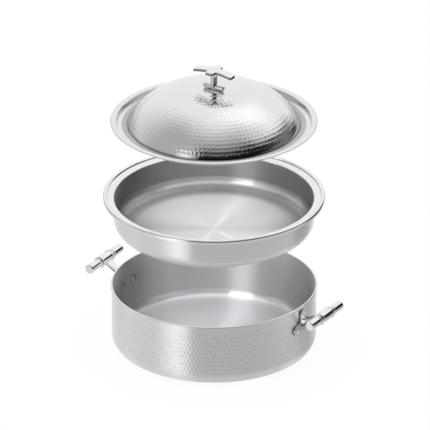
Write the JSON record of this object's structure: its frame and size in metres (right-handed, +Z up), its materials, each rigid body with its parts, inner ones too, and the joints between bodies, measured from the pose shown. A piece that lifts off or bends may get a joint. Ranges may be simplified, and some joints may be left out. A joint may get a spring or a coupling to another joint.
{
  "type": "chafing dish",
  "caption": "Round steel food warmer: water pan with side handles, drop-in food pan and hammered domed lid with a cross-shaped knob, lifted apart.",
  "frame": {"origin": "middle of the water pan's underside, on the surface it stands on", "axes": "+Z up along the axis of the vessels, X through the two side handles"},
  "size_m": [0.474, 0.39, 0.5313],
  "materials": {
    "satin_steel": "satin inside, hammered outer wall",
    "spun_steel": "fine spun satin",
    "hammered_polish": "mirror polished with hammer marks",
    "chrome": "bright chrome plate",
    "fastener_steel": "plain turned steel"
  },
  "bodies": {
    "base": {"base_pan": "satin_steel", "bracket_right": "chrome", "barrel_right": "chrome", "grip_right_back": "chrome", "grip_right_front": "chrome", "tie_rod_right": "fastener_steel", "rivets_right": "fastener_steel", "bracket_left": "chrome", "barrel_left": "chrome", "grip_left_back": "chrome", "grip_left_front": "chrome", "tie_rod_left": "fastener_steel", "rivets_left": "fastener_steel"},
    "pan": {"food_pan": "spun_steel"},
    "lid": {"lid_shell": "hammered_polish", "knob_grip": "chrome", "knob_post": "chrome", "knob_foot": "chrome", "knob_screw": "fastener_steel", "knob_washer": "fastener_steel"}
  },
  "joints": [
    {"name": "pan_lift", "type": "slide", "parent": "base", "child": "pan", "axis": [0, 0, 1], "range_m": [-0.167, 0]},
    {"name": "lid_lift", "type": "slide", "parent": "pan", "child": "lid", "axis": [0, 0, 1], "range_m": [-0.145, 0]}
  ]
}
